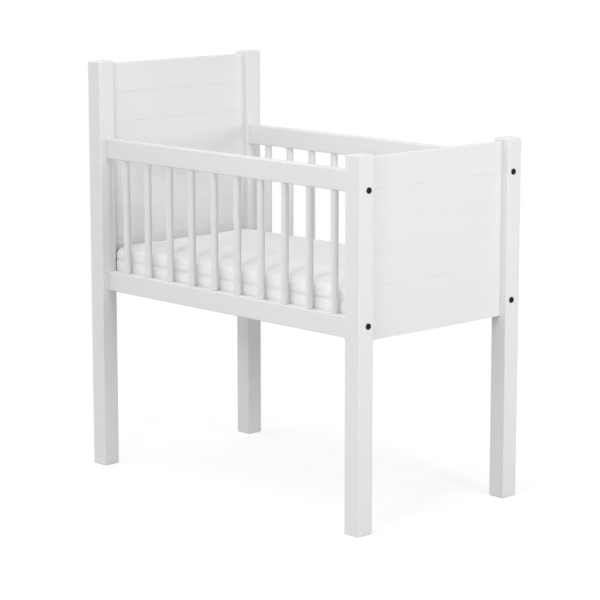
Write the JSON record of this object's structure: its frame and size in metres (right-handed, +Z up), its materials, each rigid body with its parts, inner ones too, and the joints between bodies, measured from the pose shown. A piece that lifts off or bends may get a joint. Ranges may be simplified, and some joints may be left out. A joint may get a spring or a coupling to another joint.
{
  "type": "baby cradle",
  "caption": "Fixed baby cradle on square corner posts, with barred sides, boarded ends, a slatted base and a loose mattress.",
  "frame": {"origin": "on the floor, under the middle of the cradle", "axes": "+X from the head end to the foot end, +Y to the far side, +Z up"},
  "size_m": [0.8706, 0.49, 0.93],
  "materials": {
    "painted_wood": "solid wood in white satin paint",
    "painted_board": "grooved board in white satin paint",
    "bare_wood": "planed pine, unfinished",
    "black_steel": "blackened steel, satin",
    "plated_steel": "zinc plated",
    "mattress_cover": "white woven cotton cover, matt"
  },
  "bodies": {
    "root": {"head_post_near": "painted_wood", "head_post_far": "painted_wood", "foot_post_near": "painted_wood", "foot_post_far": "painted_wood", "head_panel": "painted_board", "foot_panel": "painted_board", "near_top_rail": "painted_wood", "near_bottom_rail": "painted_wood", "far_top_rail": "painted_wood", "far_bottom_rail": "painted_wood", "near_bar_1": "painted_wood", "near_bar_2": "painted_wood", "near_bar_3": "painted_wood", "near_bar_4": "painted_wood", "near_bar_5": "painted_wood", "near_bar_6": "painted_wood", "near_bar_7": "painted_wood", "near_bar_8": "painted_wood", "near_bar_9": "painted_wood", "near_bar_10": "painted_wood", "far_bar_1": "painted_wood", "far_bar_2": "painted_wood", "far_bar_3": "painted_wood", "far_bar_4": "painted_wood", "far_bar_5": "painted_wood", "far_bar_6": "painted_wood", "far_bar_7": "painted_wood", "far_bar_8": "painted_wood", "far_bar_9": "painted_wood", "far_bar_10": "painted_wood", "bolt_head_near_top": "black_steel", "insert_head_near_top": "plated_steel", "bolt_head_near_bottom": "black_steel", "insert_head_near_bottom": "plated_steel", "bolt_head_far_top": "black_steel", "insert_head_far_top": "plated_steel", "bolt_head_far_bottom": "black_steel", "insert_head_far_bottom": "plated_steel", "bolt_foot_near_top": "black_steel", "insert_foot_near_top": "plated_steel", "bolt_foot_near_bottom": "black_steel", "insert_foot_near_bottom": "plated_steel", "bolt_foot_far_top": "black_steel", "insert_foot_far_top": "plated_steel", "bolt_foot_far_bottom": "black_steel", "insert_foot_far_bottom": "plated_steel", "near_cleat": "bare_wood", "far_cleat": "bare_wood", "base_slat_1": "bare_wood", "base_slat_2": "bare_wood", "base_slat_3": "bare_wood", "base_slat_4": "bare_wood", "base_slat_5": "bare_wood", "base_slat_6": "bare_wood", "base_slat_7": "bare_wood", "base_slat_8": "bare_wood", "base_slat_9": "bare_wood", "mattress": "mattress_cover"}
  },
  "joints": []
}
